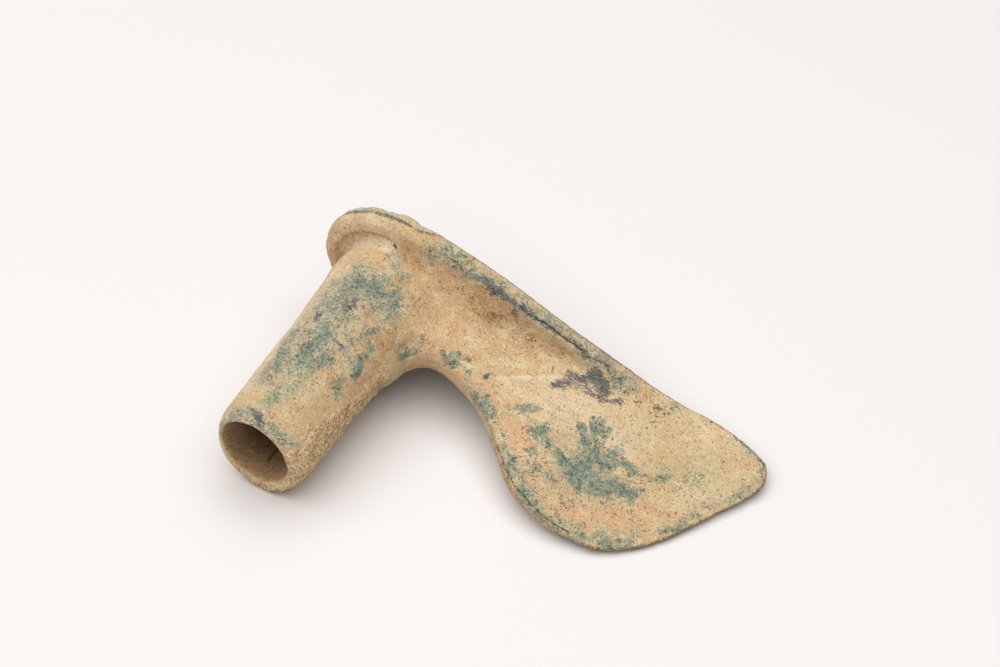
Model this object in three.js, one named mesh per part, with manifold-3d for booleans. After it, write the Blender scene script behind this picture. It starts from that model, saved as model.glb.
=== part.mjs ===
// Bronze Age shaft-hole axe head: one bronze casting, in millimetres, +Z up.
//
// It is drawn in the casting's own directions and then laid down as it rests:
//   Y runs along the shaft socket, from the open mouth (y = 0) to the flanged collar,
//   X runs from the socket's axis out along the blade to the cutting edge,
//   Z runs across the thickness of the blade.
// At rest it touches the ground at three places: under the socket's mouth, under the collar's rim,
// and along the lower end of the cutting edge.

import * as THREE from 'three';
import { mergeVertices } from 'three/addons/utils/BufferGeometryUtils.js';
import Module from 'manifold-3d';

// ---- Socket ----
// The tube's outline, from the mouth up: a slight taper, a shoulder, and its end inside the collar.
const TUBE_OUTLINE = [
  { radius: 12.5, y: 0 },
  { radius: 12.9, y: 20 },
  { radius: 13.4, y: 40 },
  { radius: 14.5, y: 56 },
  { radius: 14.0, y: 61 },
  { radius: 13.2, y: 66 },
];
const TUBE_RINGS = 18;
const MOUTH_PINCH = 0.15;           // how far the worn mouth is drawn in across its width
const MOUTH_PINCH_LENGTH = 6;
const ROUND_STEPS = 56;

// ---- Bore for the shaft: oval, and set high in the mouth, so the wall is thickest below ----
const BORE_HALF_WIDTH = 8.7;
const BORE_HALF_HEIGHT = 10.1;
const BORE_TAPER = 0.93;            // size at the collar, as a fraction of the size at the mouth
const BORE_RISE_AT_MOUTH = 1.4;
const BORE_OVERRUN = 5;
const BORE_STEPS = 40;

// ---- Collar plate: a disc round the socket that tapers into a ridge along the blade's back ----
const COLLAR_RADIUS = 20.2;
const COLLAR_CENTRE_X = -1.3;
const COLLAR_TOP_Y = 69.2;
const BACK_SLOPE = 0.023;           // the back rises toward the blade's tip
const SHOULDERS_END_X = 6.5;        // the plate keeps its full width this far out
const RIDGE_END_X = 83;
const RIDGE_HALF_WIDTH = 1.0;
const RIDGE_THINNEST = 0.4;         // half the width of the ridge's drawn-in layers
const RIDGE_ROUND = 4;
const PLATE_STEPS = 84;

// Each layer of the plate's edge: its height from the plate's top, and how far it is drawn in.
const PLATE_LAYERS = [
  { rise: -5.0, inset: 8.0 },
  { rise: -5.0, inset: 5.3 },       // groove between the tube and the step
  { rise: -6.2, inset: 4.0 },       // raised step round the underside
  { rise: -5.6, inset: 1.7 },
  { rise: -4.4, inset: 0.3 },
  { rise: -2.4, inset: 0.0 },       // widest line of the rim
  { rise: -0.8, inset: 0.0 },
  { rise: 0.0, inset: 0.8 },        // bevel to the flat top
];

// ---- Blade ----
const ROOT_X = 3;                   // the blade is drawn from inside the socket
// The lower outline: out of the socket, under the neck, and round the beard to the cutting edge.
const LOWER_OUTLINE = [
  { x: ROOT_X, y: 36 },
  { x: 13.6, y: 39.5 },
  { x: 16.2, y: 44.2 },
  { x: 22, y: 47 },
  { x: 31, y: 45 },
  { x: 40, y: 39.8 },
  { x: 51, y: 30 },
  { x: 57, y: 25.4 },
  { x: 66, y: 22.2 },
  { x: 75, y: 21.8 },
  { x: 80.5, y: 22.2 },
];
const BACK_START = { x: ROOT_X, y: 68 };
const BACK_END = { x: 86, y: 71 };  // the back is straight to here, then curves down to the tip
const TIP_PULL = { x: 96.5, y: 71.2 };
const TIP = { x: 104.6, y: 67.3 };

const BLADE_HALF_THICKNESS = 4.4;   // of the blade's even taper, where it would reach the axis
const TAPER_END_X = 120;
const ROOT_SWELL = 6;               // added to it where the blade leaves the socket
const ROOT_SWELL_X = 10;
const ROOT_SWELL_REACH = 13;
const EDGE_HALF_THICKNESS = 0.6;    // the cutting edge is worn blunt
const EDGE_BLUNT_START = 0.994;     // fraction of the blade's length where the blunt edge closes
const EDGE_BEVEL_START = 0.8;
const EDGE_BULGE = 6.3;             // how far the edge bows out from its chord
const BULGE_START = 0.45;
const BEARD_ROUNDING = 3;           // a low power rounds the edge's lower corner widely
const TIP_ROUNDING = 9;             // a high power keeps the tip's corner tight
const BLADE_RINGS = 44;
const SECTION_STEPS = 40;           // points round one cross-section of the blade

// ---- Resting pose ----
const ROLL = THREE.MathUtils.degToRad(10.06);   // cutting edge down
const PITCH = THREE.MathUtils.degToRad(7.43);   // collar end up

const wasm = await Module();
wasm.setup();

// A closed geometry as a manifold-3d solid.
function solid(geometry) {
  const bare = geometry.clone();
  bare.deleteAttribute('normal');
  bare.deleteAttribute('uv');
  const merged = mergeVertices(bare, 1e-4);
  return new wasm.Manifold(new wasm.Mesh({
    numProp: 3,
    vertProperties: new Float32Array(merged.attributes.position.array),
    triVerts: new Uint32Array(merged.index.array),
  }));
}

// A manifold-3d solid as a three.js geometry.
function geometryOf(body) {
  const mesh = body.getMesh();
  const geometry = new THREE.BufferGeometry();
  geometry.setAttribute('position', new THREE.BufferAttribute(mesh.vertProperties, 3));
  geometry.setIndex(new THREE.BufferAttribute(mesh.triVerts, 1));
  return geometry;
}

// Moves every vertex of a geometry to the place that a function gives for it.
function reshape(geometry, place) {
  const points = geometry.attributes.position;
  const point = new THREE.Vector3();
  for (let i = 0; i < points.count; i += 1) {
    point.fromBufferAttribute(points, i);
    place(point);
    points.setXYZ(i, point.x, point.y, point.z);
  }
  return geometry;
}

// The tube: a lathe profile, drawn in across its worn mouth.
function socketTube() {
  const outline = new THREE.SplineCurve(TUBE_OUTLINE.map((spot) => new THREE.Vector2(spot.radius, spot.y)));
  const profile = [
    new THREE.Vector2(0, TUBE_OUTLINE[0].y),
    ...outline.getPoints(TUBE_RINGS),
    new THREE.Vector2(0, TUBE_OUTLINE[TUBE_OUTLINE.length - 1].y),
  ];
  const tube = new THREE.LatheGeometry(profile, ROUND_STEPS);
  return reshape(tube, (point) => {
    const nearMouth = Math.max(0, 1 - point.y / MOUTH_PINCH_LENGTH);
    point.x *= 1 - MOUTH_PINCH * nearMouth ** 2;
  });
}

// The bore runs right through, from below the mouth to above the collar.
function bore() {
  const length = COLLAR_TOP_Y + 2 * BORE_OVERRUN;
  const cutter = new THREE.CylinderGeometry(BORE_TAPER, 1, length, BORE_STEPS);
  cutter.translate(0, length / 2 - BORE_OVERRUN, 0);
  return reshape(cutter, (point) => {
    const rise = BORE_RISE_AT_MOUTH * (1 - point.y / COLLAR_TOP_Y);
    point.x *= BORE_HALF_WIDTH;
    point.z = point.z * BORE_HALF_HEIGHT + rise;
  });
}

// Half the width of the plate at a distance x along the blade.
function plateHalfWidth(x) {
  if (x < COLLAR_CENTRE_X) {
    return Math.sqrt(Math.max(0, COLLAR_RADIUS ** 2 - (x - COLLAR_CENTRE_X) ** 2));
  }
  const along = THREE.MathUtils.clamp((x - SHOULDERS_END_X) / (RIDGE_END_X - SHOULDERS_END_X), 0, 1);
  const straight = 1 - along;
  const eased = Math.cos(Math.PI * along / 2) ** 2;
  const taper = RIDGE_HALF_WIDTH + (COLLAR_RADIUS - RIDGE_HALF_WIDTH) * (straight + eased) / 2;
  const fromEnd = Math.max(0, x - (RIDGE_END_X - RIDGE_ROUND)) / RIDGE_ROUND;
  return taper * Math.sqrt(Math.max(0, 1 - fromEnd ** 2));
}

// The plate: a unit cylinder shaped so that each of its rings is the plate's outline, drawn in.
function collarPlate() {
  const rings = PLATE_LAYERS.length - 1;
  const blank = new THREE.CylinderGeometry(1, 1, rings, PLATE_STEPS, rings);
  return reshape(blank, (point) => {
    const layer = PLATE_LAYERS[Math.round(point.y + rings / 2)];
    const isOnRing = Math.hypot(point.x, point.z) > 0.5;
    if (isOnRing) {
      let x = THREE.MathUtils.lerp(COLLAR_CENTRE_X - COLLAR_RADIUS, RIDGE_END_X, (1 + point.x) / 2);
      let halfWidth = plateHalfWidth(x);
      if (x < COLLAR_CENTRE_X) {
        const shrink = 1 - layer.inset / COLLAR_RADIUS;
        x = COLLAR_CENTRE_X + (x - COLLAR_CENTRE_X) * shrink;
        halfWidth *= shrink;
      } else {
        halfWidth = Math.max(Math.min(halfWidth, RIDGE_THINNEST), halfWidth - layer.inset);
      }
      point.x = x;
      point.z = Math.sign(point.z) * halfWidth;
    }
    point.y = COLLAR_TOP_Y + layer.rise + BACK_SLOPE * point.x;
  });
}

const flat = (spot) => new THREE.Vector2(spot.x, spot.y);
const lowerOutline = new THREE.SplineCurve(LOWER_OUTLINE.map(flat));
const upperOutline = new THREE.CurvePath();
upperOutline.add(new THREE.LineCurve(flat(BACK_START), flat(BACK_END)));
upperOutline.add(new THREE.QuadraticBezierCurve(flat(BACK_END), flat(TIP_PULL), flat(TIP)));

// Half the thickness of the blade's core: a thick root that thins quickly, then a long even taper.
function coreHalfThickness(x) {
  const taper = BLADE_HALF_THICKNESS * (1 - x / TAPER_END_X);
  const root = ROOT_SWELL * Math.exp(-Math.max(0, x - ROOT_SWELL_X) / ROOT_SWELL_REACH);
  return taper + root;
}

// The blade: a unit cylinder shaped so that each ring is a cross-section from beard to back.
// Its two end rings are flattened to lines, which closes it.
function blade() {
  const blank = new THREE.CylinderGeometry(1, 1, BLADE_RINGS, SECTION_STEPS, BLADE_RINGS, true);
  const low = new THREE.Vector2();
  const high = new THREE.Vector2();
  const across = new THREE.Vector2();
  return reshape(blank, (point) => {
    const ring = Math.round(point.y + BLADE_RINGS / 2);
    const isEnd = ring === 0 || ring === BLADE_RINGS;
    const along = ring === BLADE_RINGS ? 1 : EDGE_BLUNT_START * ring / (BLADE_RINGS - 1);
    lowerOutline.getPointAt(along, low);
    upperOutline.getPointAt(along, high);
    across.subVectors(high, low);
    const width = across.length();
    const fromLow = (1 - point.x) / 2;
    const power = fromLow > 0.5 ? TIP_ROUNDING : BEARD_ROUNDING;
    const towardEdge = THREE.MathUtils.smoothstep(along, BULGE_START, 1);
    const bulge = EDGE_BULGE * towardEdge * (1 - Math.abs(2 * fromLow - 1) ** power);
    const x = low.x + across.x * fromLow + across.y / width * bulge;
    const y = low.y + across.y * fromLow - across.x / width * bulge;
    const bevel = THREE.MathUtils.smoothstep(along, EDGE_BEVEL_START, 1);
    const core = THREE.MathUtils.lerp(coreHalfThickness(x), EDGE_HALF_THICKNESS, bevel);
    const fromOutline = Math.min(fromLow, 1 - fromLow) * width;
    const rounding = 1 - Math.min(1, fromOutline / core);
    const half = isEnd ? 0 : core * Math.sqrt(1 - rounding ** 2);
    point.set(x, y, half * Math.sign(Math.round(point.z * 1e6)));
  });
}

const casting = solid(socketTube())
  .add(solid(collarPlate()))
  .add(solid(blade()))
  .subtract(solid(bore()));

// Laid down, with the origin under the middle of its box.
const shape = geometryOf(casting);
shape.rotateY(ROLL);
shape.rotateX(PITCH);
shape.computeBoundingBox();
const middle = shape.boundingBox.getCenter(new THREE.Vector3());
shape.translate(-middle.x, -middle.y, -shape.boundingBox.min.z);
shape.computeVertexNormals();

const patinatedBronze = new THREE.MeshStandardMaterial({
  color: 0xbfa57c,
  roughness: 0.85,
  metalness: 0.1,
});

const axeHead = new THREE.Mesh(shape, patinatedBronze);
axeHead.name = 'axe_head';

const group = new THREE.Group();
group.add(axeHead);

export default group;
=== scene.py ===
import math

import bpy
import numpy as np
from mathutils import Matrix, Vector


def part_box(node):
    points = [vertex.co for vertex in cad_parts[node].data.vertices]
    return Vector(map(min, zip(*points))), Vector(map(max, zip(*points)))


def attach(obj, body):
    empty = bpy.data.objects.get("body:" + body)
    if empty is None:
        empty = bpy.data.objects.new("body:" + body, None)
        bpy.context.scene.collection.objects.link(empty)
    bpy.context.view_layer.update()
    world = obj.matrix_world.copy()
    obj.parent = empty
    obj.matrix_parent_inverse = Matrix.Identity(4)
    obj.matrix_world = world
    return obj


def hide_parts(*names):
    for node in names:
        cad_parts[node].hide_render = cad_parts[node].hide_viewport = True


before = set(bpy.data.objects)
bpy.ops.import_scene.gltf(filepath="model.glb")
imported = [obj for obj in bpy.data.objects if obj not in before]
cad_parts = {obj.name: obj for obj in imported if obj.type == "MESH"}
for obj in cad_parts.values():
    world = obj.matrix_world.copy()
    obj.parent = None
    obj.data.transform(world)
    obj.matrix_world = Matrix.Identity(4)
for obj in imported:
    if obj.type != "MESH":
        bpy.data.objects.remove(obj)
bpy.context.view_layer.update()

import openvdb
from mathutils import Matrix, Vector, noise

# ---- Axe head ----
# One bronze casting: a tubular socket for the haft, a flanged collar round the socket's far end, a ridge
# that runs from the collar along the back, and a fan-shaped blade. The haft went up the socket from its
# mouth and came out at the collar.

# Each form is worked out as a distance from its surface, in millimetres, and they are run together with
# fillets, as the metal runs in a mould. Y is along the socket from its mouth, X is out along the blade, and
# Z is across the blade.
CARVING_STEP = 0.52
x_steps = np.arange(-24.0, 108.5, CARVING_STEP)
y_steps = np.arange(-3.0, 75.0, CARVING_STEP)
z_steps = np.arange(-23.5, 24.0, CARVING_STEP)
X, Y, Z = np.meshgrid(x_steps, y_steps, z_steps, indexing="ij", sparse=True)


def smooth_line(points, steps_between=12):
    """A smooth line through the points."""
    points = np.array(points, float)
    before = np.vstack([points[:1], points[:-1]])[:-1]
    start, end = points[:-1], points[1:]
    after = np.vstack([points[1:], points[-1:]])[1:]
    t = np.linspace(0, 1, steps_between, endpoint=False)[None, :, None]
    before, start, end, after = (p[:, None, :] for p in (before, start, end, after))
    line = 0.5 * (2 * start + (end - before) * t + (2 * before - 5 * start + 4 * end - after) * t**2
                  + (3 * start - before - 3 * end + after) * t**3)
    return np.vstack([line.reshape(-1, points.shape[1]), points[-1:]])


def run_together(a, b, fillet):
    """Two forms as one, with a fillet where they meet."""
    overlap = np.maximum(fillet - np.abs(a - b), 0) / fillet
    return np.minimum(a, b) - overlap**2 * fillet / 4


def cut_away(a, b, rounding):
    """The first form less the second, with its new edges rounded."""
    return -run_together(-a, b, rounding)


# The socket tapers a little, swells to a shoulder, and is drawn in across its worn mouth.
SOCKET_END = 66
DRAWN_IN, DRAWN_IN_DEPTH = 0.15, 6
socket_line = smooth_line([(0, 12.5), (20, 12.9), (40, 13.4), (56, 14.5), (61, 14.0), (SOCKET_END, 13.2)])
socket_radius = np.interp(Y, socket_line[:, 0], socket_line[:, 1])
narrowed = 1 - DRAWN_IN * np.clip(1 - Y / DRAWN_IN_DEPTH, 0, 1)**2
socket = np.hypot(X / narrowed, Z) - socket_radius
socket = cut_away(socket, Y, 0.5)
socket = cut_away(socket, SOCKET_END - Y, 1.0)

# The bore for the haft is an oval that narrows a little on its way up. It is set high in the mouth, so that
# the wall is thickest below it, and the mouth is worn wider on the side away from the blade.
COLLAR_TOP = 69.2
BORE_HALF_WIDTH, BORE_HALF_HEIGHT, BORE_RAISED = 8.7, 10.1, 1.4
BORE_TAPER, BORE_START, BORE_RUN = 0.07, -5, 79
MOUTH_WIDER, MOUTH_SHIFT, MOUTH_DEPTH = 0.5, 0.4, 12
bore_shrink = 1 - BORE_TAPER * (Y - BORE_START) / BORE_RUN
at_mouth = np.clip(1 - Y / MOUTH_DEPTH, 0, 1)
bore_width = BORE_HALF_WIDTH * bore_shrink + MOUTH_WIDER * at_mouth
bore_height = BORE_HALF_HEIGHT * bore_shrink
bore_x = X + MOUTH_SHIFT * at_mouth
bore_z = Z - BORE_RAISED * (1 - Y / COLLAR_TOP)
oval = np.hypot(bore_x / bore_width, bore_z / bore_height)
bore = oval * (oval - 1) / (np.hypot(bore_x / bore_width**2, bore_z / bore_height**2) + 1e-6)


def distance_to_line(line, across, up):
    """How far each place is from a line of points."""
    nearest = np.full(np.broadcast(across, up).shape, np.inf)
    for (ax, ay), (bx, by) in zip(line[:-1], line[1:]):
        run, rise = bx - ax, by - ay
        part = ((across - ax) * run + (up - ay) * rise) / (run**2 + rise**2 + 1e-9)
        part = np.clip(part, 0, 1)
        nearest = np.minimum(nearest, (across - ax - part * run)**2 + (up - ay - part * rise)**2)
    return np.sqrt(nearest)


def distance_to_outline(outline, across, up):
    """How far each place is from a closed outline, as a negative number inside it."""
    closed = np.vstack([outline, outline[:1]])
    inside = np.zeros(np.broadcast(across, up).shape, bool)
    for (ax, ay), (bx, by) in zip(closed[:-1], closed[1:]):
        if ay != by:
            inside ^= ((ay > up) != (by > up)) & (across < ax + (up - ay) * (bx - ax) / (by - ay))
    return np.where(inside, -1, 1) * distance_to_line(closed, across, up)


def ease(value, start, end):
    """0 before start, 1 after end, and a smooth rise between them."""
    t = np.clip((value - start) / (end - start), 0, 1)
    return t * t * (3 - 2 * t)


# The collar is a disc round the socket. It narrows into the ridge along the back of the blade, and its flat
# top rises a little that way.
COLLAR_RADIUS, COLLAR_MIDDLE, TOP_SLOPE = 20.2, -1.3, 0.023
RIDGE_START, RIDGE_END, RIDGE_HALF, RIDGE_ROUNDING = 6.5, 83, 1.0, 4
disc_x = COLLAR_MIDDLE - COLLAR_RADIUS * np.cos(np.linspace(0, math.pi / 2, 24, endpoint=False))
disc_half = np.sqrt(np.maximum(0, COLLAR_RADIUS**2 - (disc_x - COLLAR_MIDDLE)**2))
ridge_x = np.linspace(COLLAR_MIDDLE, RIDGE_END, 60)
narrowing = np.clip((ridge_x - RIDGE_START) / (RIDGE_END - RIDGE_START), 0, 1)
width_left = ((1 - narrowing) + np.cos(math.pi * narrowing / 2)**2) / 2
ridge_half = RIDGE_HALF + (COLLAR_RADIUS - RIDGE_HALF) * width_left
round_end = np.maximum(0, ridge_x - (RIDGE_END - RIDGE_ROUNDING)) / RIDGE_ROUNDING
ridge_half *= np.sqrt(np.maximum(0, 1 - round_end**2))
plate_x, plate_half = np.append(disc_x, ridge_x), np.append(disc_half, ridge_half)
plate_outline = np.vstack([np.column_stack([plate_x, plate_half]),
                           np.column_stack([plate_x, -plate_half])[::-1]])
from_rim = -distance_to_outline(plate_outline, X[:, 0, :], Z[:, 0, :])

# A cut through the rim, as distances in from its widest line and up from the flat top: a bevel above, a
# rounded underside that thickens inwards, and a step back from there to the plate. Towards the blade the
# cut is plain. Only the places near the plate are worked out.
PLATE_THICKNESS, WELL_INSIDE, FAR_OFF = 5.0, 80, 20.0
rim_cut = np.array([(0.7, 0), (0, -0.7), (0, -3.2), (0.6, -4.3), (1.8, -5.1), (4.0, -5.6), (4.4, -5.3),
                    (4.7, -PLATE_THICKNESS), (WELL_INSIDE, -PLATE_THICKNESS), (WELL_INSIDE, 0)])
plain_cut = np.array([(0.8, 0), (0, -0.8), (0, -2.6), (0.6, -4.0), (2.2, -PLATE_THICKNESS),
                      (WELL_INSIDE, -PLATE_THICKNESS), (WELL_INSIDE, 0)])
near_plate = y_steps > 52
under_top = (Y - COLLAR_TOP - TOP_SLOPE * X)[:, near_plate, :]
stepped = distance_to_outline(rim_cut, from_rim[:, None, :], under_top)
plain = distance_to_outline(plain_cut, from_rim[:, None, :], under_top)
plate = np.full(np.broadcast(X, Y, Z).shape, FAR_OFF)
plate[:, near_plate, :] = stepped + (plain - stepped) * ease(X, -2, 8)

# The blade: its back is straight and then drops to the tip, and its underside curves out of the neck
# and down to a rounded beard. The cutting edge between them bows out, with its sharper turn at the tip.
EDGE_BOW, BEARD_TURN, TIP_TURN = 6.3, 3, 9
lower_line = smooth_line([(3, 36), (13.6, 39.5), (16.2, 44.2), (22, 47), (31, 45), (40, 39.8), (51, 30),
                          (57, 25.4), (66, 22.2), (75, 21.8), (80.5, 22.2)])
bend = np.linspace(0, 1, 16)[:, None]
back_corner, tip_pull, tip = np.array([(86, 71), (96.5, 71.2), (104.6, 67.3)], float)
back_line = back_corner * (1 - bend)**2 + 2 * tip_pull * bend * (1 - bend) + tip * bend**2
chord = np.linspace(0, 1, 48)
beard = lower_line[-1]
bow = EDGE_BOW * (1 - np.abs(2 * chord - 1)**np.where(chord > 0.5, TIP_TURN, BEARD_TURN))
chord_run = tip - beard
outward = np.array([chord_run[1], -chord_run[0]]) / np.hypot(*chord_run)
cutting_edge = beard + chord[:, None] * chord_run + bow[:, None] * outward
blade_outline = np.vstack([lower_line, cutting_edge, back_line[::-1], [(3, 68)]])
blade_x, blade_y = X[:, :, 0], Y[:, :, 0]
from_outline = distance_to_outline(blade_outline, blade_x, blade_y)

# It is thick at the root, thins along its length, and thins again to a blunt cutting edge. Its sides are
# round at the neck and squarer along the beard and the back.
BODY_HALF, BODY_THINS_OVER = 4.4, 120
ROOT_EXTRA, ROOT_END, ROOT_THINS_OVER = 6, 10, 13
EDGE_HALF, EDGE_THINS_OVER = 0.5, 20
half_thickness = BODY_HALF * (1 - blade_x / BODY_THINS_OVER)
half_thickness = half_thickness + ROOT_EXTRA * np.exp(-np.maximum(0, blade_x - ROOT_END) / ROOT_THINS_OVER)
to_edge = distance_to_line(cutting_edge, blade_x, blade_y)
half_thickness = half_thickness + (EDGE_HALF - half_thickness) * ease(-to_edge, -EDGE_THINS_OVER, 0)
squareness = 2.0 + 1.2 * ease(blade_x, 35, 50)
past_corner = np.maximum(from_outline / half_thickness + 1, 0)[:, :, None]
power, half = squareness[:, :, None], half_thickness[:, :, None]
blade = half * ((past_corner**power + np.abs(Z / half)**power)**(1 / power) - 1)

# The fillets: next to none on the plate's flat top, wide under it near the socket, and less along the ridge.
# The one between the socket and the collar is wider on the blade's side.
below_top = COLLAR_TOP + TOP_SLOPE * X - Y
ridge_fillet = 0.3 + ease(below_top, 1, 4) * (3 + 8 * ease(-X, -48, -20))
neck_fillet = 6.0
collar_fillet = 1.7 + 3.3 * ease(X, -12, 4)
with_ridge = run_together(plate, blade, ridge_fillet)
with_socket = run_together(socket, blade, neck_fillet)
round_collar = run_together(plate, socket, collar_fillet)
casting = np.minimum(np.minimum(with_ridge, with_socket), round_collar)
casting = cut_away(casting, bore, 0.5)

# The surface itself is drawn from the distances near it, with its faces turned to look outwards.
FARTHEST = 3.0
block = openvdb.FloatGrid(FARTHEST)
block.copyFromArray(np.clip(casting, -FARTHEST, FARTHEST).astype(np.float32))
points, faces = block.convertToQuads()
points = points * CARVING_STEP + (x_steps[0], y_steps[0], z_steps[0])
a, b, c = (points[faces[:, i]] for i in range(3))
if (a * np.cross(b, c)).sum() < 0:
    faces = faces[:, ::-1]


def directions_out(points, faces):
    """The direction straight out of the surface at each point."""
    across = np.cross(points[faces[:, 2]] - points[faces[:, 0]], points[faces[:, 3]] - points[faces[:, 1]])
    out = np.zeros_like(points)
    for corner in range(4):
        np.add.at(out, faces[:, corner], across)
    return out / np.maximum(np.linalg.norm(out, axis=1, keepdims=True), 1e-12)


out = directions_out(points, faces)

# Its worn and crusted surface. The metal has corroded and been worn in the ground. Its faces are slightly
# uneven, and a granular crust clings to the socket's blade side and mouth. A groove runs along the ridge and
# one along the beard, a thin line runs along the bottom of the bore, the cutting edge is chipped, and the
# collar's rim has a small lump and shallow dents.
noise.seed_set(1)


def bumps(places, size, seed, layers=2):
    """Smooth random bumps of about that size, mostly between -1 and 1."""
    shift = Vector((seed * 17.3, seed * 5.1, seed * 9.7))
    return np.array([noise.fractal(Vector(p) / size + shift, 1.0, 2.0, layers) for p in places])


def near(places, path, reach):
    """1 on the path, falling to 0 at that reach from it."""
    path = np.array(path, float)
    if len(path) == 1:
        distance = np.linalg.norm(places - path[0], axis=1)
    else:
        distance = np.full(len(places), np.inf)
        for start, end in zip(path[:-1], path[1:]):
            run = end - start
            part = np.clip((places - start) @ run / (run @ run + 1e-9), 0, 1)[:, None]
            distance = np.minimum(distance, np.linalg.norm(places - start - part * run, axis=1))
    return np.clip(1 - distance / reach, 0, 1)


def strayed(places, size, how_far, seed):
    """The places, each moved a little by smooth random wandering, to give marks on them ragged borders."""
    shift = Vector((seed * 11.9, seed * 3.7, seed * 7.3))
    return places + how_far * np.array([noise.noise_vector(Vector(p) / size + shift) for p in places])


def patches(places, marks):
    """The strongest of several marks at each place. A mark is a path, its reach and its strength."""
    found = np.zeros(len(places))
    for path, reach, strength in marks:
        found = np.maximum(found, strength * near(places, path, reach))
    return found


crust = patches(points, [
    ([(11.5, 2, -3), (13, 14, 0), (13, 26, -1), (13, 34, -2)], 7, 1.0),
    ([(10, 0.5, 4), (11.5, 8, 4.5), (12.5, 20, 2)], 6.5, 0.8),
    ([(9, 0.5, -5), (5.5, 0.5, -10), (1, 1, -12)], 3.5, 0.8),
])
turned_out = (out[:, [0, 2]] * points[:, [0, 2]]).sum(1)
crust = ease(crust, 0.05, 0.5) * ease(turned_out, -4, 2)


def traced(path):
    """The path moved onto the surface, with points less than a millimetre apart."""
    path = np.array(path, float)
    ends = np.linspace(0, len(path) - 1, 8 * len(path))
    fine = np.column_stack([np.interp(ends, range(len(path)), path[:, i]) for i in range(3)])
    return [points[np.argmin(((points - spot)**2).sum(1))] for spot in fine]


collar_lump = near(points, [(-1.4, 69.3, 19.6), (1.0, 69.2, 19.6)], 2.2)
crease_path = traced([(37, 65.2, 12.2), (42.2, 65.7, 11), (47.5, 65.9, 9.4), (53, 66.5, 7.7)])
beard_path = traced([(48, 33.4, 1.7), (51.1, 30.4, 1.6), (57.2, 26.1, 1.7), (65.6, 23, 1.5),
                     (73.5, 22.7, 1.1)])
crack_path = traced([(0.6, 11.5, -8.6), (0.2, 8.5, -8.7), (0.4, 7, -8.7), (0, 5.5, -8.7)])
scratch_path = traced([(38.4, 50.5, 3.7), (42.3, 53.7, 3.3), (46.5, 56.4, 3.1), (50.5, 59.7, 2.8)])
crease, beard_groove = near(points, crease_path, 0.9), near(points, beard_path, 0.8)
bore_crack, scratch = near(points, crack_path, 0.7), near(points, scratch_path, 1.0)
along_edge = ease(-distance_to_line(cutting_edge, points[:, 0], points[:, 1]), -3.0, 0)
from_collar_middle = np.hypot(points[:, 0] - COLLAR_MIDDLE, points[:, 2])
collar_rim = ease(from_collar_middle, 17.5, 19.5) * ease(-points[:, 0], -2, 6)

# How far each place stands out from the cast form, in millimetres.
relief = 0.20 * bumps(points, 14, seed=1) + 0.10 * bumps(points, 4.5, seed=2)
relief += 0.06 * bumps(points, 1.8, seed=3)
relief += crust * (0.9 * np.abs(bumps(points, 1.5, seed=4, layers=3)) + 0.35 * bumps(points, 3.5, seed=5))
relief += 0.7 * collar_lump - 0.5 * crease - 0.35 * beard_groove - 0.3 * bore_crack
relief -= 0.4 * along_edge * np.maximum(bumps(points, 3, seed=6), 0)
relief -= 0.5 * collar_rim * np.maximum(bumps(points, 5, seed=12), 0)
points = points + out * relief[:, None]
out = directions_out(points, faces)

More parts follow.
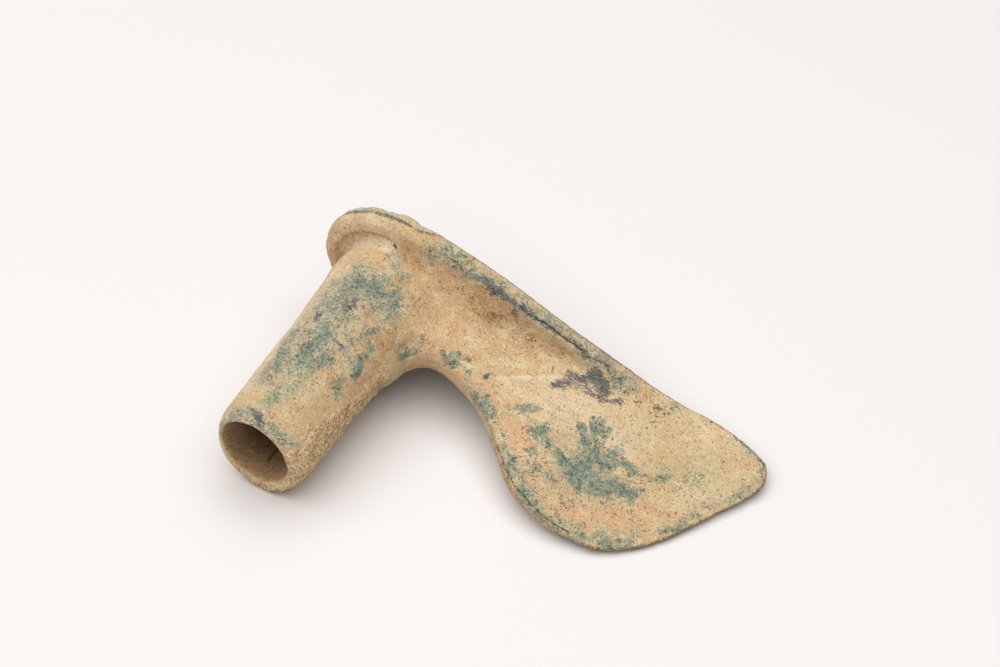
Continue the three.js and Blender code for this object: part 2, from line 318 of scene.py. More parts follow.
# Its patches of patina. Under and through the sandy crust show teal, green and grey-green copper corrosion
# and slate-blue bare patches. The crust itself is cream, orange or olive in places, and brown with dirt in
# the hollows. The cream on the socket's side away from the blade and on the collar's underside is painted
# light, and the brown in the crease under the collar there is painted shade.
facing_up = np.clip(0.5 + 1.5 * out[:, 2], 0, 1)
ragged = strayed(strayed(points, 5.0, 1.8, seed=1), 1.7, 0.9, seed=2)
crumbled = strayed(points, 2.0, 0.6, seed=3)
teal = patches(ragged, [
    # on the socket
    ([(-2, 49.5, 13.9), (2.8, 50, 13.7)], 5, 1.0),
    ([(-4, 47.5, 13.3), (0.5, 48, 13.9)], 6, 0.6),
    ([(9.3, 31, 9.2), (9.5, 29.2, 8.9)], 3, 1.1),
    ([(5.4, 34.7, 12), (5.6, 37.6, 12.1), (7.8, 40.6, 10.9), (9.1, 36.9, 9.7), (9.8, 33, 9)], 2.2, 0.85),
    ([(8.6, 25, 9.6), (8.8, 21, 9.4)], 2.2, 0.9),
    ([(-1.9, 31.9, 13), (-2.5, 27.1, 12.8), (-1.4, 21.7, 12.9)], 4, 0.8),
    ([(3.3, 26, 12.6), (2, 22, 12.8)], 4, 0.7),
    ([(-7, 16.6, 10.7), (-7, 21, 10.8)], 2.5, 0.85),
    ([(6, 52, 12.9), (7.6, 49, 11.8), (8, 44, 11)], 2.5, 0.75),
    # in the crook and along the neck
    ([(13.7, 40.1, 2.4), (14.6, 41.5, 4.2), (17.3, 46, 3.9), (17.4, 49.5, 7)], 1.8, 1.05),
    ([(13.2, 42, 6.4)], 3, 0.8),
    ([(29, 50.8, 4.7), (23.7, 49.5, 4.8), (26.8, 47.6, 3.2), (30.8, 48, 4.1)], 1.7, 0.95),
    ([(34.8, 43.6, 1.6), (37, 41.5, 1.6)], 2, 0.9),
    ([(39.5, 41.6, 2.7), (41.2, 40.6, 2.7)], 3.2, 1.15),
    ([(45.9, 35.7, 2.1), (47.5, 36.5, 2.6)], 2.5, 0.95),
    ([(45.7, 45.2, 3.1), (50.7, 48, 2.8)], 2, 0.75),
    # the great patch on the blade, with its arms
    ([(52.9, 42.1, 2.7), (54.5, 44, 2.6)], 3.5, 1.1),
    ([(54, 42.1, 2.6), (59, 39.8, 2.4), (63.2, 39.8, 2.2), (66, 40, 2)], 2.8, 1.05),
    ([(54.4, 41, 2.6), (54.6, 36.7, 2.6)], 2.5, 0.8),
    ([(66.7, 41.5, 2), (66.7, 38, 2), (69, 36, 1.9)], 5, 1.15),
    ([(69, 37, 2), (73, 37, 1.8), (77, 39.3, 1.6), (81.5, 39.6, 1.3)], 4.6, 0.95),
    ([(66.7, 40.8, 2), (64.5, 43.7, 2.1), (63.8, 47, 2.1), (62.9, 49.9, 2.2)], 2.8, 1.05),
    ([(67.5, 41, 2), (68, 47.5, 2), (65.3, 53.1, 2.1)], 2.8, 1.05),
    ([(68, 50, 2), (68.2, 52.2, 2)], 2.2, 0.9),
    ([(70, 43, 2), (72.8, 48, 1.8)], 2.8, 1.0),
    ([(72, 42, 1.9), (75.3, 46.8, 1.7), (77.9, 46.4, 1.6)], 2.8, 0.95),
    ([(79, 44.5, 1.5), (82.7, 46.2, 1.3), (86.4, 50.3, 1.1)], 1.8, 1.0),
    ([(63.1, 32.5, 2.2), (58, 33.2, 2.4)], 4, 0.6),
    ([(71, 40, 2)], 13, 0.42),
    # round the beard
    ([(51.9, 32.5, 2.7), (54.4, 27.9, 1.6), (58.9, 25.8, 1.9), (64, 23.6, 1.7), (68.8, 22.7, 1.4)], 1.9, 1.0),
    ([(57, 31, 2.5), (55.5, 28.5, 2.3)], 2.5, 0.7),
    ([(76.6, 23.6, 0.9)], 3, 1.0),
    ([(82, 25.4, 0.7), (87, 27.6, 0.6)], 2.5, 0.95),
    ([(92, 34.8, 0.6), (94, 38, 0.6)], 2, 0.8),
    ([(11.5, 68.3, 19.4), (14.5, 68, 18.8), (17.5, 67.9, 18.1)], 1.5, 1.0),
]) * facing_up
grey_green = patches(ragged, [
    ([(-5, 44, 12.6), (-3, 37, 13), (-2, 28, 13), (-2, 20, 13)], 11, 0.9),
    ([(-2, 50, 14), (5, 48, 13)], 10, 0.9),
    ([(4, 36, 12.5), (6, 30, 11.6)], 5.5, 0.6),
    ([(-7.5, 30, 10), (-6, 14, 11)], 6, 0.85),
    ([(-3, 12, 12.5), (-1, 8, 12.6)], 4.5, 0.7),
    ([(-8, 1, 9), (-4, 3, 12), (3, 2.5, 12.2), (7.5, 1, 9)], 4, 1.0),
    ([(-10, 0.5, 0), (-9.5, 0.5, 5), (-8, 0.5, 8)], 2.5, 1.2),
    ([(6, 56, 13), (1, 60, 14)], 4, 0.7),
    ([(9.5, 66, 18), (14, 65.6, 17.6), (19, 65.4, 16.8), (24, 65.6, 15.9), (30, 65.8, 14.4)], 4.2, 0.95),
    ([(22, 66, 15.5), (33, 66.5, 13), (46, 67, 10), (56, 68, 7)], 4, 0.85),
    ([(54, 68, 6), (66, 66, 4)], 5.5, 0.8),
    ([(69, 40, 2)], 18, 0.6),
    ([(48, 34, 2), (55, 29, 2), (65, 24.5, 2), (78, 24.5, 1), (88, 30, 0.6)], 4, 0.65),
    ([(92, 35, 0.6), (100, 50, 0.6), (106, 62, 0.6)], 3, 0.6),
    ([(98, 70, 0.6), (105, 66, 0.6)], 3.5, 0.7),
    ([(34, 44, 2.5), (45, 36, 2)], 4, 0.6),
]) * facing_up
slate = patches(ragged, [
    # the smear high on the blade, dragged out in streaks
    ([(57.9, 64.2, 2.7), (60.3, 63.3, 2.3), (61.4, 61.6, 2.2)], 3.2, 1.35),
    ([(51.4, 57.8, 2.8), (53.6, 59.6, 2.7)], 2.8, 1.0),
    ([(52.4, 62, 2.7), (57, 63.4, 2.6)], 2.2, 0.9),
    ([(53.6, 59.6, 2.7), (60, 61.6, 2.3)], 2.2, 0.95),
    ([(61.5, 61.2, 2.2), (66.5, 60.8, 2)], 1.8, 0.9),
    # along the ridge and its crease
    ([(23, 64.6, 16), (28.2, 64.8, 14.6), (32, 65, 13.5)], 2.2, 0.85),
    ([(32.8, 64.3, 11.7), (33.6, 64.6, 9.6)], 2.2, 1.0),
    ([(34, 65, 13), (37, 65.4, 12.4)], 1.8, 0.9),
    ([(48.6, 65.8, 9), (52.2, 65.7, 7.6), (55.6, 66.2, 6.9), (58, 66.8, 6.2)], 1.9, 1.05),
    ([(55, 66.3, 6.8), (59, 66.8, 5.8), (63, 67, 5)], 1.7, 0.95),
    ([(73.5, 67.5, 2.4), (79, 66.6, 1.5)], 2.0, 0.8),
    ([(75.6, 62.4, 1.6), (79.4, 65, 1.5)], 1.8, 0.5),
    # spots
    ([(35.6, 49, 3.9)], 2, 1.3),
    ([(39.2, 51.7, 3.6)], 1.2, 1.0),
    ([(41.3, 53, 3.4)], 1.1, 1.0),
    ([(45.3, 56.6, 3.1)], 1.5, 1.0),
    ([(0.3, 43.7, 13.6), (-1.5, 41, 13.4)], 3, 0.8),
    ([(-5.4, 33.9, 12.1), (-5.8, 37.3, 12)], 1.6, 0.95),
    ([(-8.7, 25, 9.6)], 1.8, 0.8),
    ([(6, 30.8, 11.6), (3, 30.5, 12.8)], 2, 0.7),
    ([(-3.7, 3.9, 12), (-0.6, 2.6, 12.4), (1.4, 2, 12.2)], 1.5, 1.15),
    ([(0, 11.3, 12.7), (-3, 12.4, 12.5)], 1.3, 0.8),
    ([(-0.5, 63.6, 14.6)], 1.6, 1.0),
]) * facing_up
slate = np.maximum(slate, facing_up * patches(crumbled, [
    ([(37, 65.2, 12.2), (42.2, 65.7, 11), (47.5, 65.9, 9.4), (53.1, 66.5, 7.7)], 1.3, 1.0),
    ([(55, 60.4, 2.5), (62.4, 60.9, 2.2)], 0.9, 0.9),
    ([(88, 70.4, 1), (96, 69.6, 0.8), (101, 68.4, 0.6), (104.2, 66.6, 0.5), (105.6, 63, 0.5)], 0.8, 0.75),
    ([(55, 59.0, 2.5), (60, 59.6, 2.2)], 0.8, 0.8),
    ([(55.6, 62.2, 2.5), (60, 62.8, 2.4)], 0.9, 0.9),
]))
green = patches(ragged, [
    ([(5.5, 2.4, 10.6), (8.2, 1, 8.2)], 1.8, 0.75),
    ([(-2, 6.5, 12.4), (-1, 9, 12.6), (1, 14, 12.8)], 2.4, 0.8),
    ([(86, 52, 1.2), (93, 54, 0.9)], 7, 0.45),
    ([(70.6, 23, 1.5)], 1.6, 0.9),
    ([(29, 65, 14.6), (24, 65.4, 16.4)], 2, 0.6),
    ([(40, 63.6, 8.6)], 1.6, 0.5),
]) * facing_up
# Brown dirt in the hollows. The last mark, in the crease under the collar away from the blade, is painted
# shade.
dirt_and_painted_shade = patches(ragged, [
    ([(3, 62.6, 13.5), (9.3, 64.4, 10), (16.7, 64.6, 8.6), (24, 64.7, 8.2), (30, 64.9, 7.2)], 4.4, 0.8),
    ([(6.6, 54, 13), (9.4, 46, 12), (11.9, 39, 9)], 5.5, 0.5),
    ([(-16.5, 62.8, 4), (-14.5, 63.2, 8), (-9, 63.8, 12.4)], 2.5, 0.45),
])
pitted = patches(ragged, [
    ([(53, 34, 2.5), (58, 30, 2.4), (66, 27, 2), (72, 28, 1.7)], 8, 0.9),
    ([(64, 35, 2.1), (66, 33, 2)], 5, 1.0),
    ([(84, 36, 1), (90, 40, 0.8)], 6, 0.6),
    ([(80, 44, 1.4), (86, 48, 1.2), (92, 52, 1)], 6, 0.8),
    ([(58, 63, 3), (66, 62, 2), (76, 64, 1.6)], 6, 0.8),
    ([(66, 69, 4), (78, 68, 2)], 4, 1.0),
    ([(50, 54, 2.8), (48, 60, 2.9)], 4, 0.7),
    ([(60, 47, 2.2), (70, 50, 2)], 6, 0.5),
    ([(9.3, 64.4, 10), (16.7, 64.6, 8.6), (24, 64.7, 8.2), (30, 64.9, 7.2), (38, 65, 6)], 4.5, 1.0),
    ([(11.5, 2, -3), (13, 14, 0), (13, 26, -1), (13, 34, -2)], 7, 0.6),
    ([(10, 65.5, 17.6), (18, 65, 16.8), (28, 65.4, 14.6)], 4.5, 1.2),
    ([(-2, 47, 14), (-3, 38, 13), (-5, 28, 12), (1, 22, 13)], 7, 0.8),
    ([(5, 34, 12), (9, 26, 10)], 4, 0.7),
    ([(4, 55, 14), (12, 50, 12)], 6, 0.4),
    ([(-8, 1, 9), (0, 0.5, 12.5), (8, 0.5, 7)], 3, 1.0),
    ([(9, 0.5, -5), (4, 0.5, -11), (-3, 0.5, -12), (-9, 1, -7)], 4, 1.0),
    ([(18, 47, 5), (30, 48, 5)], 4, 0.6),
    ([(104, 66, 0.6), (104, 56, 0.6), (94, 38, 0.6), (82, 25, 0.7)], 3, 0.7),
])
# Where the crust is creamier: on the blade it is paler crust, and the first three marks, on the socket's side
# away from the blade and under the collar, are painted light.
cream_and_painted_light = patches(ragged, [
    ([(-11, 52, 8), (-11, 34, 7), (-10, 12, 7)], 6, 1.25),
    ([(-15, 63.8, 8), (-10, 64, 12), (-3, 64, 15)], 4.5, 1.8),
    ([(-16, 65, 12), (-10, 65.5, 16.5), (-2, 65.5, 18.5)], 4, 0.8),
    ([(52, 52, 2.7), (64, 55, 2.2), (72, 52, 2)], 12, 1.0),
    ([(86, 66, 1.2), (97, 68, 0.7)], 9.5, 0.7),
    ([(94, 47, 0.7), (97, 57, 0.7)], 8, 0.7),
    ([(95, 57.5, 0.8)], 2.5, 1.2),
]) * facing_up
orange = patches(ragged, [
    ([(62, 42.4, 2.2)], 3, 1.0),
    ([(71, 46, 1.9)], 3.5, 1.0),
    ([(51, 38, 2.7)], 5.5, 0.8),
    ([(72, 30, 1.7), (84, 32, 1)], 7, 0.7),
    ([(86, 36, 0.9), (92, 41, 0.8)], 5.5, 0.6),
    ([(15, 52, 11), (20, 50, 8)], 7, 0.7),
    ([(-3, 17, 12.5), (-4, 20, 12)], 2.5, 0.9),
    ([(0, 31, 13), (2, 34, 13)], 2, 0.8),
])
olive = patches(ragged, [
    ([(86, 52, 1.2), (96, 56, 0.8)], 12, 0.8),
    ([(84, 45, 1.2), (92, 44, 0.8)], 8, 0.6),
    ([(70, 58, 2), (82, 62, 1.4)], 8, 0.6),
]) * facing_up

# Colour that follows the form: a dark line under the collar's top edge with a paler strip above it, the
# stained side of the blade, its darkened back edge, and the inside of the bore, where painted shade darkens
# it further in.
x, y, z = points.T
from_plate_rim = -distance_to_outline(plate_outline, x, z)
below_top = COLLAR_TOP + TOP_SLOPE * x - y
on_rim = ease(-from_plate_rim, -2.2, -1.0)
line_depth = 2.3 * ease(-x, -12, -4)
line_width = 0.5 + 0.5 * ease(-x, -8, -2)
rim_line = np.clip(1 - np.abs(below_top - line_depth) / line_width, 0, 1) * on_rim * facing_up
rim_strip = ease(line_depth - below_top, 0.2, 0.9) * on_rim * (1 - collar_lump)
from_edge = -distance_to_outline(blade_outline, x, y)
side_width = 0.9 + 0.5 * ease(-x, -78, -60)
blade_side = ease(-from_edge / side_width, -1.0, -0.2) * ease(x, 40, 50)
blade_side *= 0.55 + 0.45 * ease(x, 72, 80)
back_edge = ease(-below_top, -1.1, -0.5) * ease(x, 6, 12) * ease(-x, -86, -78) * facing_up
# Painted shade: how far into the bore a place is, darkening the bore's colour further in.
bore_depth = ease(y, -2, 12)
at_mouth = np.clip(1 - y / MOUTH_DEPTH, 0, 1)
across_bore = (x + MOUTH_SHIFT * at_mouth) / (BORE_HALF_WIDTH + MOUTH_WIDER * at_mouth)
up_bore = (z - BORE_RAISED * (1 - y / COLLAR_TOP)) / BORE_HALF_HEIGHT
bore_size = np.hypot(across_bore, up_bore)
inside_bore = np.maximum(ease(-bore_size, -1.06, -0.98), ease(bore_crack, 0, 0.3))
grooves = np.maximum(0.85 * beard_groove, crease)

# The side turned to the ground has only a few faint blotches.
turned_under = (1 - facing_up) * (1 - crust)
grey_green = np.maximum(grey_green, 0.62 * turned_under * ease(bumps(points, 20, seed=8), 0.0, 0.5))
teal = np.maximum(teal, 0.75 * turned_under * ease(bumps(points, 16, seed=9), 0.15, 0.6))
dirt_and_painted_shade = np.maximum(dirt_and_painted_shade, 0.5 * turned_under * ease(bumps(points, 18, seed=10), 0.1, 0.6))
# Hardly a speck of patina shows through the crust.
teal, grey_green, slate, green = (layer - 0.3 * crust for layer in (teal, grey_green, slate, green))

mesh = bpy.data.meshes.new("axe_head_surface")
mesh.from_pydata(points.tolist(), [], faces.tolist())
for polygon in mesh.polygons:
    polygon.use_smooth = True
for name, amount in (("teal", teal), ("grey_green", grey_green), ("slate", slate), ("green", green),
                     ("dirt_and_painted_shade", dirt_and_painted_shade), ("cream_and_painted_light", cream_and_painted_light), ("orange", orange), ("olive", olive),
                     ("crust", crust), ("rim_line", rim_line), ("rim_strip", rim_strip),
                     ("blade_side", blade_side), ("back_edge", back_edge), ("grooves", grooves),
                     ("bore_crack", bore_crack), ("scratch", scratch), ("pitted", pitted),
                     ("inside_bore", inside_bore), ("bore_depth", bore_depth)):
    mesh.attributes.new(name, "FLOAT", "POINT").data.foreach_set("value", amount.astype(np.float32))

# Laid down as it rests: on the mouth, the collar's rim and the beard. It is then set over the solid.
MM = 0.001
ROLLED, PITCHED = math.radians(7.43), math.radians(10.06)
lay_down = Matrix.Rotation(ROLLED, 4, "X") @ Matrix.Rotation(PITCHED, 4, "Y")
mesh.transform(Matrix.Scale(MM, 4) @ lay_down)
solid_low, solid_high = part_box("axe_head")
spots = np.array([v.co for v in mesh.vertices])
mesh_low, mesh_high = Vector(spots.min(0)), Vector(spots.max(0))
shift = (solid_low + solid_high - mesh_low - mesh_high) / 2
shift.z = solid_low.z - mesh_low.z
mesh.transform(Matrix.Translation(shift))
axe_head = bpy.data.objects.new("axe_head_fine", mesh)
bpy.context.scene.collection.objects.link(axe_head)


def put(tree, kind, settings=None, **inputs):
    """Adds a node, with its settings and with values or links for its inputs."""
    node = tree.nodes.new("ShaderNode" + kind)
    for name, value in (settings or {}).items():
        setattr(node, name, value)
    for name, value in inputs.items():
        found = [s for s in node.inputs if name in (s.identifier, s.name.replace(" ", "_"))]
        if isinstance(value, bpy.types.NodeSocket):
            tree.links.new(value, found[0])
        else:
            found[0].default_value = value
    return node


def math_of(tree, operation, first, second):
    """Adds a Math node and gives its result."""
    node = put(tree, "Math", {"operation": operation})
    for slot, value in zip(node.inputs, (first, second)):
        if isinstance(value, bpy.types.NodeSocket):
            tree.links.new(value, slot)
        else:
            slot.default_value = value
    return node.outputs[0]


def step_of(tree, value, low, high):
    """0 at low and 1 at high, with a smooth rise between them. Low may be the greater of the two."""
    return put(tree, "MapRange", {"interpolation_type": "SMOOTHSTEP"}, Value=value, From_Min=low,
               From_Max=high).outputs["Result"]


def layered(tree, under, over, cover):
    """The colour over, laid on the colour under it as far as the cover says."""
    return put(tree, "Mix", {"data_type": "RGBA"}, Factor_Float=cover, A_Color=under,
               B_Color=over).outputs["Result"]


def new_group(name, inputs, outputs):
    """A node group, with its inputs' sockets and its outputs' sockets."""
    group = bpy.data.node_groups.new(name, "ShaderNodeTree")
    for label, kind, value in inputs:
        socket_in = group.interface.new_socket(label, in_out="INPUT", socket_type="NodeSocket" + kind)
        if value is not None:
            socket_in.default_value = value
    for label, kind in outputs:
        group.interface.new_socket(label, in_out="OUTPUT", socket_type="NodeSocket" + kind)
    return group, group.nodes.new("NodeGroupInput").outputs, group.nodes.new("NodeGroupOutput").inputs


# A corrosion that breaks through the crust in ragged blotches. They are solid where there is much of it and
# fall apart into grains at their borders. Flecks of the crust are left on it, and it is darker and paler in
# places. It shows wherever its amount, less a threshold, and the noise of its blotches and grains come to
# more than 0. Blotch and Grain are their sizes in millimetres.
patina, given, result = new_group(
    "patina",
    [("Place", "Vector", None), ("Amount", "Float", 0.0), ("Blotch", "Float", 3.0), ("Grain", "Float", 0.8),
     ("Shift", "Float", 0.0), ("Dark", "Color", (0, 0, 0, 1)), ("Pale", "Color", (1, 1, 1, 1)),
     ("Under", "Color", (1, 1, 1, 1)), ("Softness", "Float", 0.15), ("Flecks", "Float", 0.3)],
    [("Color", "Color"), ("Cover", "Float")])
moved = put(patina, "VectorMath", {"operation": "ADD"})
patina.links.new(given["Place"], moved.inputs[0])
patina.links.new(given["Shift"], moved.inputs[1])
per_blotch = math_of(patina, "DIVIDE", 1.0, given["Blotch"])
per_grain = math_of(patina, "DIVIDE", 1.0, given["Grain"])
blotches = put(patina, "TexNoise", Vector=moved.outputs[0], Scale=per_blotch, Detail=5.0, Roughness=0.62,
               Distortion=0.4)
grains = put(patina, "TexNoise", Vector=moved.outputs[0], Scale=per_grain, Detail=2.0, Roughness=0.55,
             Distortion=1.2)
tones = put(patina, "TexNoise", Vector=given["Place"], Scale=math_of(patina, "MULTIPLY", per_grain, 0.35),
            Detail=2.0, Roughness=0.6, Distortion=0.5)
fine_tones = put(patina, "TexNoise", Vector=given["Place"], Scale=math_of(patina, "MULTIPLY", per_grain, 1.9),
                 Detail=2.0, Roughness=0.8)
spread = math_of(patina, "MULTIPLY", math_of(patina, "SUBTRACT", blotches.outputs["Fac"], 0.5), 3.0)
crumbs = math_of(patina, "MULTIPLY", math_of(patina, "SUBTRACT", grains.outputs["Fac"], 0.5), 4.2)
total = math_of(patina, "SUBTRACT", math_of(patina, "MULTIPLY", given["Amount"], 2.5), 1.1)
total = math_of(patina, "ADD", total, math_of(patina, "ADD", spread, crumbs))
cover = step_of(patina, math_of(patina, "DIVIDE", total, given["Softness"]), -1.0, 1.0)
thinly = math_of(patina, "SUBTRACT", 1.0, step_of(patina, total, 0.7, 1.5))
flecks_left = math_of(patina, "MULTIPLY", given["Flecks"], step_of(patina, grains.outputs["Color"], 0.5, 0.6))
flecks_left = math_of(patina, "MULTIPLY", flecks_left, thinly)
cover = math_of(patina, "MULTIPLY", cover, math_of(patina, "SUBTRACT", 1.0, flecks_left))
broad_tone = math_of(patina, "MULTIPLY", step_of(patina, tones.outputs["Fac"], 0.38, 0.62), 0.4)
fine_tone = math_of(patina, "MULTIPLY", step_of(patina, fine_tones.outputs["Fac"], 0.42, 0.58), 0.6)
own_colour = layered(patina, given["Dark"], given["Pale"], math_of(patina, "ADD", broad_tone, fine_tone))
patina.links.new(layered(patina, given["Under"], own_colour, cover), result["Color"])
patina.links.new(cover, result["Cover"])

bronze = bpy.data.materials.new("patinated_bronze")
bronze.use_nodes = True
skin = bronze.node_tree
shader = skin.nodes["Principled BSDF"]
shader.inputs["Metallic"].default_value = 0.0
shader.inputs["Specular IOR Level"].default_value = 0.25
shader.inputs["Sheen Weight"].default_value = 0.12
shader.inputs["Sheen Roughness"].default_value = 0.5


def srgb(red, green, blue):
    """A colour as it looks, from 0 to 255, as the light it gives back."""
    return tuple(((c / 255 + 0.055) / 1.055)**2.4 for c in (red, green, blue)) + (1.0,)


in_mm = put(skin, "VectorMath", {"operation": "SCALE"}, Scale=1000.0)
skin.links.new(put(skin, "TexCoord").outputs["Object"], in_mm.inputs[0])
place = in_mm.outputs["Vector"]


def speckle(size, detail=2.0, shift=0.0, roughness=0.6):
    """Random grains of about that size in millimetres."""
    moved = put(skin, "VectorMath", {"operation": "ADD"})
    skin.links.new(place, moved.inputs[0])
    moved.inputs[1].default_value = (shift, shift * 0.7, shift * 1.3)
    return put(skin, "TexNoise", Vector=moved.outputs[0], Scale=1 / size, Detail=detail,
               Roughness=roughness).outputs["Fac"]


def painted(name):
    """How much of that mark there is on the surface."""
    return put(skin, "Attribute", {"attribute_name": name}).outputs["Fac"]


def breaks_through(under, name, dark, pale, blotch, grain, shift, softness=0.15, flecks=0.3, strength=1.0,
                   where=None):
    """The colour under it, with that mark breaking through it as patina."""
    node = put(skin, "Group", {"node_tree": patina}, Place=where or place, Blotch=blotch, Grain=grain,
               Shift=shift, Dark=dark, Pale=pale, Under=under, Softness=softness, Flecks=flecks,
               Amount=math_of(skin, "MULTIPLY", painted(name), strength))
    return node.outputs["Color"]


def tinted(under, tint, how_much, cover):
    """The colour under it, with a tint laid over it where the cover says."""
    return layered(skin, under, tint, math_of(skin, "MULTIPLY", cover, how_much))


def flecked(under, tint, how_much, low, high, size, **grain):
    """The colour under it, with flecks of a tint where the speckle of that size rises from low to high."""
    return tinted(under, tint, how_much, step_of(skin, speckle(size, **grain), low, high))


# The crust: sandy tan, pinker and paler in places, rubbed in streaks along the blade, with fine grains. The
# cream also carries painted light on the socket's side away from the blade and under the collar.
tan, sand, rose = srgb(206, 174, 130), srgb(220, 198, 156), srgb(206, 162, 120)
along_blade = put(skin, "Mapping", {"vector_type": "TEXTURE"}, Vector=place,
                  Rotation=(0, 0, math.radians(12)), Scale=(7.0, 1.8, 3.0))
streaks = put(skin, "TexNoise", Vector=along_blade.outputs[0], Scale=1.0, Detail=4.0, Roughness=0.65)
brown_streaks = step_of(skin, streaks.outputs["Fac"], 0.52, 0.66)
pale_streaks = step_of(skin, streaks.outputs["Fac"], 0.5, 0.34)
colour = flecked(tan, rose, 0.75, 0.46, 0.62, size=6, detail=4, shift=1)
colour = flecked(colour, sand, 0.85, 0.47, 0.62, size=5, detail=5, shift=5, roughness=0.7)
# Cream crust, and painted light on the socket's side away from the blade and under the collar.
colour = tinted(colour, srgb(228, 208, 176), 0.7, painted("cream_and_painted_light"))
colour = tinted(colour, srgb(222, 166, 120), 0.5, painted("orange"))
colour = tinted(colour, srgb(196, 182, 132), 0.6, painted("olive"))
colour = tinted(colour, srgb(188, 152, 108), 0.3, brown_streaks)
colour = tinted(colour, srgb(234, 216, 178), 0.25, pale_streaks)
colour = flecked(colour, srgb(160, 126, 86), 0.5, 0.52, 0.66, size=0.42, shift=8, roughness=0.7)
colour = flecked(colour, srgb(240, 222, 186), 0.5, 0.53, 0.68, size=0.45, shift=9, roughness=0.7)
# Brown dirt in the hollows, with painted shade in the crease under the collar on the side away from the
# blade, and the granular crust with its darker and paler crumbs.
colour = breaks_through(colour, "dirt_and_painted_shade", srgb(150, 108, 68), srgb(200, 156, 108), blotch=4.5, grain=0.8,
                        shift=11, softness=0.9)
colour = breaks_through(colour, "crust", srgb(202, 148, 94), srgb(255, 230, 182), blotch=2.5, grain=1.0,
                        shift=14, softness=0.8, strength=1.1)
dark_crumbs = step_of(skin, speckle(0.8, detail=3, shift=47, roughness=0.7), 0.53, 0.61)
pale_crumbs = step_of(skin, speckle(0.9, shift=48), 0.54, 0.6)
colour = tinted(colour, srgb(124, 88, 50), 0.7, math_of(skin, "MULTIPLY", painted("crust"), dark_crumbs))
colour = tinted(colour, srgb(255, 232, 186), 0.5, math_of(skin, "MULTIPLY", painted("crust"), pale_crumbs))
# The grey-green and the green, with fine dark veins that wander through the grey-green.
colour = breaks_through(colour, "grey_green", srgb(124, 130, 112), srgb(202, 194, 164), blotch=3.0, grain=0.7,
                        shift=17, softness=0.7, flecks=0.6)
colour = breaks_through(colour, "green", srgb(132, 152, 122), srgb(178, 186, 146), blotch=2.5, grain=0.7,
                        shift=18, softness=0.6, flecks=0.5)
vein_course = put(skin, "TexNoise", Vector=place, Scale=1 / 2.2, Detail=3.0, Roughness=0.6, Distortion=0.6)
off_vein = math_of(skin, "ABSOLUTE", math_of(skin, "SUBTRACT", vein_course.outputs["Fac"], 0.5), 0.0)
vein_reach = step_of(skin, painted("grey_green"), 0.25, 0.6)
veins = math_of(skin, "MULTIPLY", step_of(skin, off_vein, 0.035, 0.008), vein_reach)
colour = tinted(colour, srgb(92, 98, 88), 0.75, veins)
# The teal over that, and the slate-blue, which is drawn out along the blade.
colour = breaks_through(colour, "teal", srgb(48, 78, 73), srgb(158, 168, 144), blotch=2.2, grain=0.6,
                        shift=23, softness=0.35, flecks=0.8)
drawn_out = put(skin, "Mapping", {"vector_type": "TEXTURE"}, Vector=place,
                Rotation=(0, 0, math.radians(4)), Scale=(2.6, 0.8, 1.0)).outputs[0]
colour = breaks_through(colour, "slate", srgb(64, 70, 76), srgb(128, 128, 120), blotch=1.8, grain=0.6,
                        shift=20, softness=0.25, flecks=0.7, where=drawn_out)
# The stains that follow the collar's rim, the blade's side and its back edge.
colour = breaks_through(colour, "rim_strip", srgb(166, 166, 140), srgb(206, 198, 166), blotch=5, grain=0.8,
                        shift=25, softness=0.6, flecks=0.4, strength=0.8)
colour = breaks_through(colour, "rim_line", srgb(80, 86, 82), srgb(136, 136, 118), blotch=3, grain=0.7,
                        shift=26, softness=0.4, flecks=0.4, strength=0.85)
colour = breaks_through(colour, "blade_side", srgb(84, 82, 64), srgb(172, 146, 108), blotch=3, grain=0.9,
                        shift=29, softness=0.6, flecks=0.6, strength=0.72)
colour = breaks_through(colour, "back_edge", srgb(84, 90, 86), srgb(150, 146, 124), blotch=4, grain=0.8,
                        shift=45, softness=0.5, flecks=0.5, strength=0.7)
# Small dark pits, scattered all over and thicker in places, and the pale scratch.
clusters = step_of(skin, speckle(3.5, detail=4, shift=28, roughness=0.75), 0.48, 0.62)
how_pitted = math_of(skin, "MULTIPLY", math_of(skin, "ADD", painted("pitted"), 0.05), clusters)
pit_grains = math_of(skin, "ADD", speckle(0.6, detail=3, shift=27, roughness=0.75),
                     math_of(skin, "MULTIPLY", how_pitted, 0.12))
pits = step_of(skin, pit_grains, 0.6, 0.68)
colour = tinted(colour, srgb(84, 68, 48), 0.75, pits)
colour = tinted(colour, srgb(232, 212, 182), 0.8, painted("scratch"))
# The bore is brown, with painted shade that darkens it as it goes in, dark and pale specks and the dark line
# along its bottom.
bore_brown_and_shade = layered(skin, srgb(176, 140, 99), srgb(102, 76, 43), painted("bore_depth"))
bore_brown_and_shade = flecked(bore_brown_and_shade, srgb(84, 62, 40), 0.6, 0.5, 0.62, size=0.7, detail=3, shift=40,
                     roughness=0.7)
bore_brown_and_shade = flecked(bore_brown_and_shade, srgb(188, 156, 112), 0.35, 0.54, 0.64, size=0.8, detail=3, shift=41,
                     roughness=0.7)
bore_brown_and_shade = tinted(bore_brown_and_shade, srgb(44, 32, 20), 0.75, step_of(skin, painted("bore_crack"), 0.35, 0.75))
colour = tinted(colour, bore_brown_and_shade, 0.95, painted("inside_bore"))
# Dark grime lies in the grooves, broken up here and there.
broken_up = math_of(skin, "SUBTRACT", speckle(1.6, detail=4, shift=44, roughness=0.7), 0.5)
broken_up = math_of(skin, "MULTIPLY", broken_up, 2.2)
in_groove = step_of(skin, math_of(skin, "ADD", painted("grooves"), broken_up), 0.55, 0.8)
colour = tinted(colour, srgb(66, 70, 66), 0.85, in_groove)
skin.links.new(colour, shader.inputs["Base Color"])
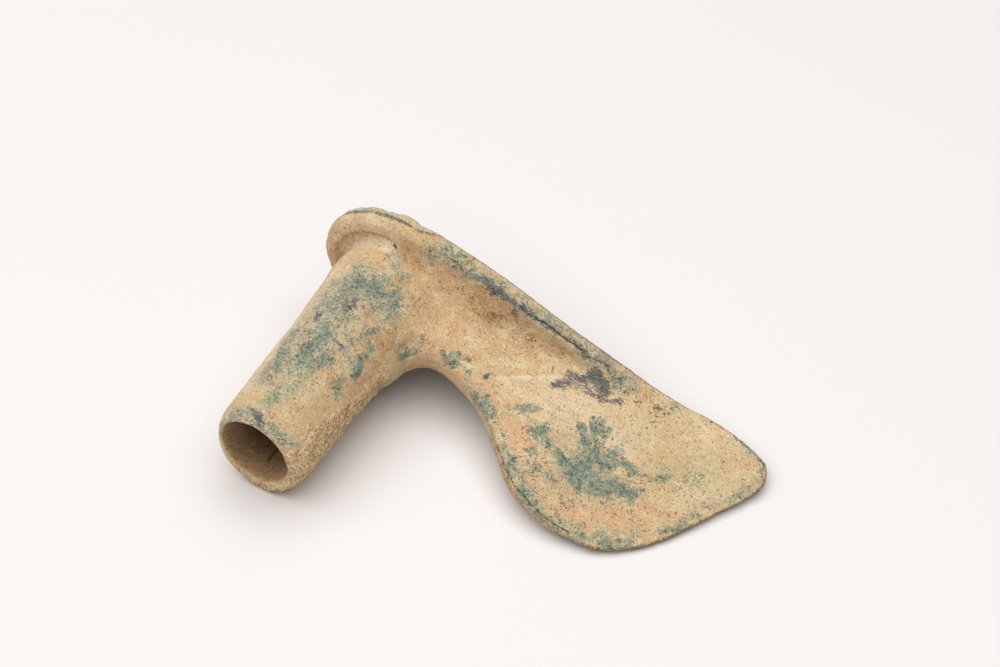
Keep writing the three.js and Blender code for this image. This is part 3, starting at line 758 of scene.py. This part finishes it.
# The finest grain is a bump. It is rougher on the crust and sinks at the pits.
dullness = put(skin, "MapRange", Value=speckle(1.2, detail=3, shift=30), To_Min=0.78, To_Max=1.0)
skin.links.new(dullness.outputs["Result"], shader.inputs["Roughness"])
fine_grain, broad_grain = speckle(0.5, detail=3, shift=31), speckle(1.6, detail=3, shift=33)
height = math_of(skin, "ADD", fine_grain, math_of(skin, "MULTIPLY", broad_grain, 1.2))
on_crust = math_of(skin, "MULTIPLY", painted("crust"), 4.0)
crust_grain = math_of(skin, "MULTIPLY", speckle(0.6, shift=35), on_crust)
height = math_of(skin, "ADD", height, crust_grain)
height = math_of(skin, "SUBTRACT", height, math_of(skin, "MULTIPLY", pits, 0.6))
bump = put(skin, "Bump", Height=height, Strength=0.8, Distance=0.0004)
skin.links.new(bump.outputs["Normal"], shader.inputs["Normal"])
mesh.materials.append(bronze)
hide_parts("axe_head")
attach(axe_head, "root")

# ---- Floor ----
# A plain pale sheet of matt paper, laid flat under the axe head. It isn't part of the object.
FLOOR_HALF = 4.0
sheet = bpy.data.meshes.new("floor")
floor_corners = [(-FLOOR_HALF, -FLOOR_HALF, 0), (FLOOR_HALF, -FLOOR_HALF, 0), (FLOOR_HALF, FLOOR_HALF, 0),
                 (-FLOOR_HALF, FLOOR_HALF, 0)]
sheet.from_pydata(floor_corners, [], [(0, 1, 2, 3)])
floor = bpy.data.objects.new("floor", sheet)
floor.location.z = solid_low.z
bpy.context.scene.collection.objects.link(floor)
paper = bpy.data.materials.new("white_paper")
paper.use_nodes = True
matt = paper.node_tree.nodes["Principled BSDF"]
matt.inputs["Base Color"].default_value = (0.777, 0.758, 0.758, 1)
matt.inputs["Roughness"].default_value = 0.9
matt.inputs["Specular IOR Level"].default_value = 0.0
sheet.materials.append(paper)

# ---- Light ----
# One large soft box overhead, with a faint warm light from all round.
world = bpy.data.worlds.new("studio")
bpy.context.scene.world = world
world.use_nodes = True
world.node_tree.nodes["Background"].inputs["Color"].default_value = (1, 0.9, 0.81, 1)
world.node_tree.nodes["Background"].inputs["Strength"].default_value = 0.22
softbox = bpy.data.lights.new("softbox", "AREA")
softbox.shape = "RECTANGLE"
softbox.size, softbox.size_y = 2.2, 2.2
softbox.energy = 32.5
softbox.color = (1, 1, 1)
lamp = bpy.data.objects.new("softbox", softbox)
lamp.location = (-0.08, -0.2, 1.25)
lamp.rotation_euler = (-lamp.location).to_track_quat("-Z", "Y").to_euler()
bpy.context.scene.collection.objects.link(lamp)

# ---- Camera ----
# It looks down on the axe head from the side where the socket's mouth is, through a long lens.
middle = (solid_low + solid_high) / 2
look_at = middle + Vector((-9.34, 25.04, 0)) * MM
azimuth, elevation, tilt = math.radians(29.345), math.radians(42.195), math.radians(1.0)
back_from = Vector((math.sin(azimuth) * math.cos(elevation), -math.cos(azimuth) * math.cos(elevation),
                    math.sin(elevation)))
distance = 0.5869
lens = bpy.data.cameras.new("camera")
lens.lens, lens.sensor_width = 85.0, 36.0
lens.clip_start, lens.clip_end = 0.01, 20
camera = bpy.data.objects.new("camera", lens)
camera.location = look_at + back_from * distance
turn = (-back_from).to_track_quat("-Z", "Y").to_matrix().to_4x4() @ Matrix.Rotation(tilt, 4, "Z")
camera.rotation_euler = turn.to_euler()
bpy.context.scene.collection.objects.link(camera)
bpy.context.scene.camera = camera
bpy.context.scene.view_settings.view_transform = "Standard"
